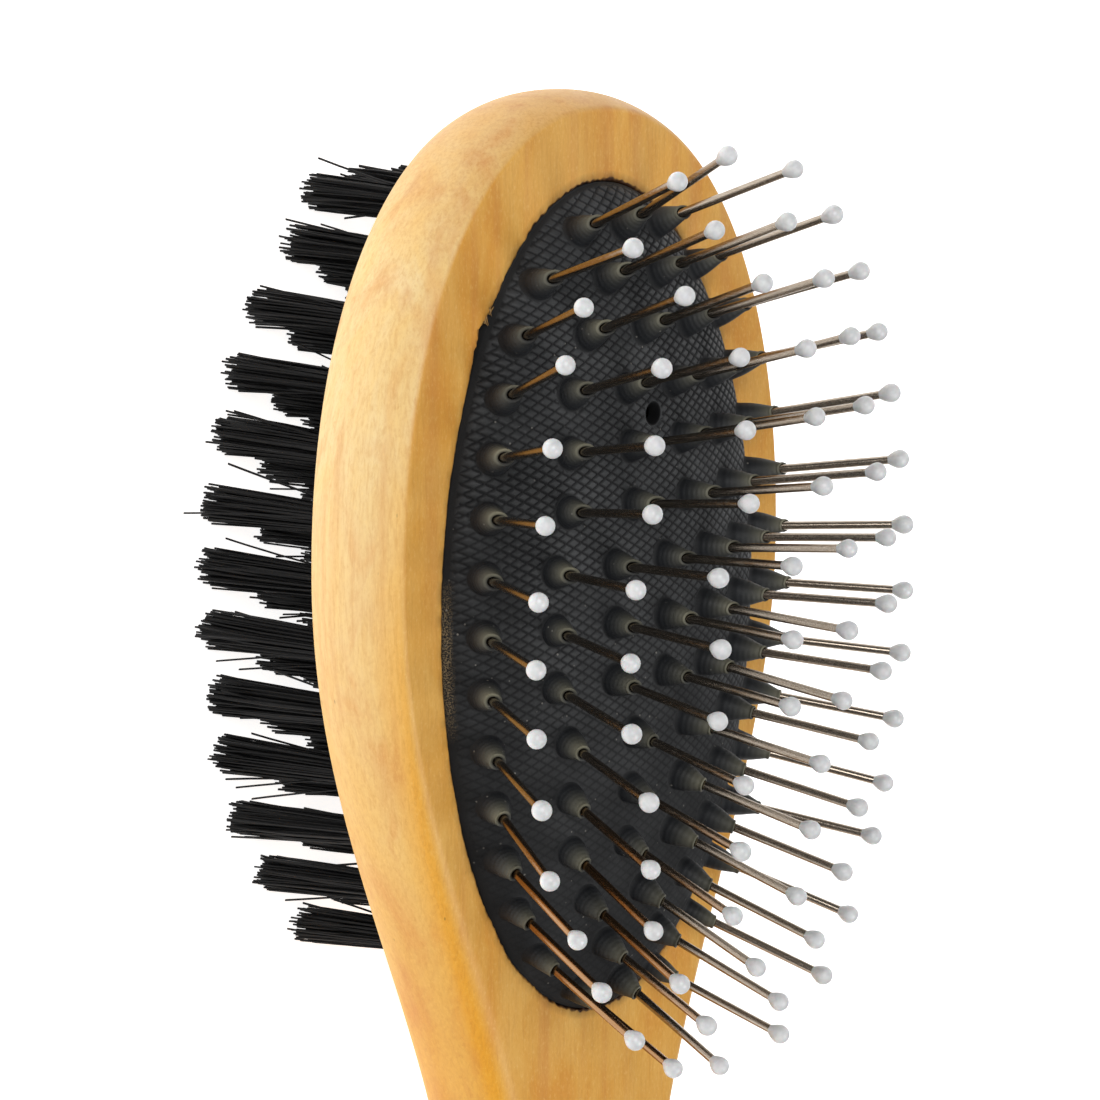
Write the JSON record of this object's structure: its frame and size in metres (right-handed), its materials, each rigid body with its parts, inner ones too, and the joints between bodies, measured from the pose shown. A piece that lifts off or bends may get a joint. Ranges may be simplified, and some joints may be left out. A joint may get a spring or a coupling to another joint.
{
  "type": "pet grooming brush",
  "caption": "Double-sided pet grooming brush: wooden head and handle, ball-tipped wire pins in a domed rubber air cushion, and black bristle tufts on the back.",
  "frame": {"origin": "middle of the bounding box in X and Y, on the plane of the bristle tips that the brush stands on", "axes": "+Y along the handle towards the tip of the head, +Z out of the pin side, X across; left and right halves mirror each other in X"},
  "size_m": [0.064, 0.225, 0.0586],
  "materials": {
    "wood": "honey-coloured light wood under clear satin lacquer, grain along the handle",
    "rubber": "matt black rubber with a fine embossed diamond mesh",
    "pin_wire": "bright nickel-plated wire",
    "ball_tip": "glossy white ball tips",
    "bristle": "glossy black nylon bristle"
  },
  "bodies": {
    "brush": {"wooden_body": "wood", "rubber_cushion": "rubber", "tuft_row_01": "bristle", "tuft_row_02": "bristle", "tuft_row_03": "bristle", "tuft_row_04": "bristle", "tuft_row_05": "bristle", "tuft_row_06": "bristle", "tuft_row_07": "bristle", "tuft_row_08": "bristle", "tuft_row_09": "bristle", "tuft_row_10": "bristle", "tuft_row_11": "bristle", "tuft_row_12": "bristle", "tuft_row_13": "bristle", "tuft_row_14": "bristle", "tuft_row_15": "bristle", "tuft_row_16": "bristle", "tuft_row_17": "bristle", "tuft_row_18": "bristle", "tuft_row_19": "bristle", "tuft_row_20": "bristle", "tuft_row_21": "bristle", "tuft_row_22": "bristle", "tuft_row_23": "bristle", "tuft_row_24": "bristle"},
    "pins": {"pin_row_01": "pin_wire", "pin_row_02": "pin_wire", "pin_row_03": "pin_wire", "pin_row_04": "pin_wire", "pin_row_05": "pin_wire", "pin_row_06": "pin_wire", "pin_row_07": "pin_wire", "pin_row_08": "pin_wire", "pin_row_09": "pin_wire", "pin_row_10": "pin_wire", "pin_row_11": "pin_wire", "pin_row_12": "pin_wire", "pin_row_13": "pin_wire", "pin_row_14": "pin_wire", "pin_row_15": "pin_wire"}
  },
  "joints": [
    {"name": "cushion_press", "type": "slide", "parent": "brush", "child": "pins", "axis": [0, 0, -1], "range_m": [0, 0.0025], "stiffness_N_per_m": 1500, "deforming": ["rubber_cushion"]}
  ]
}
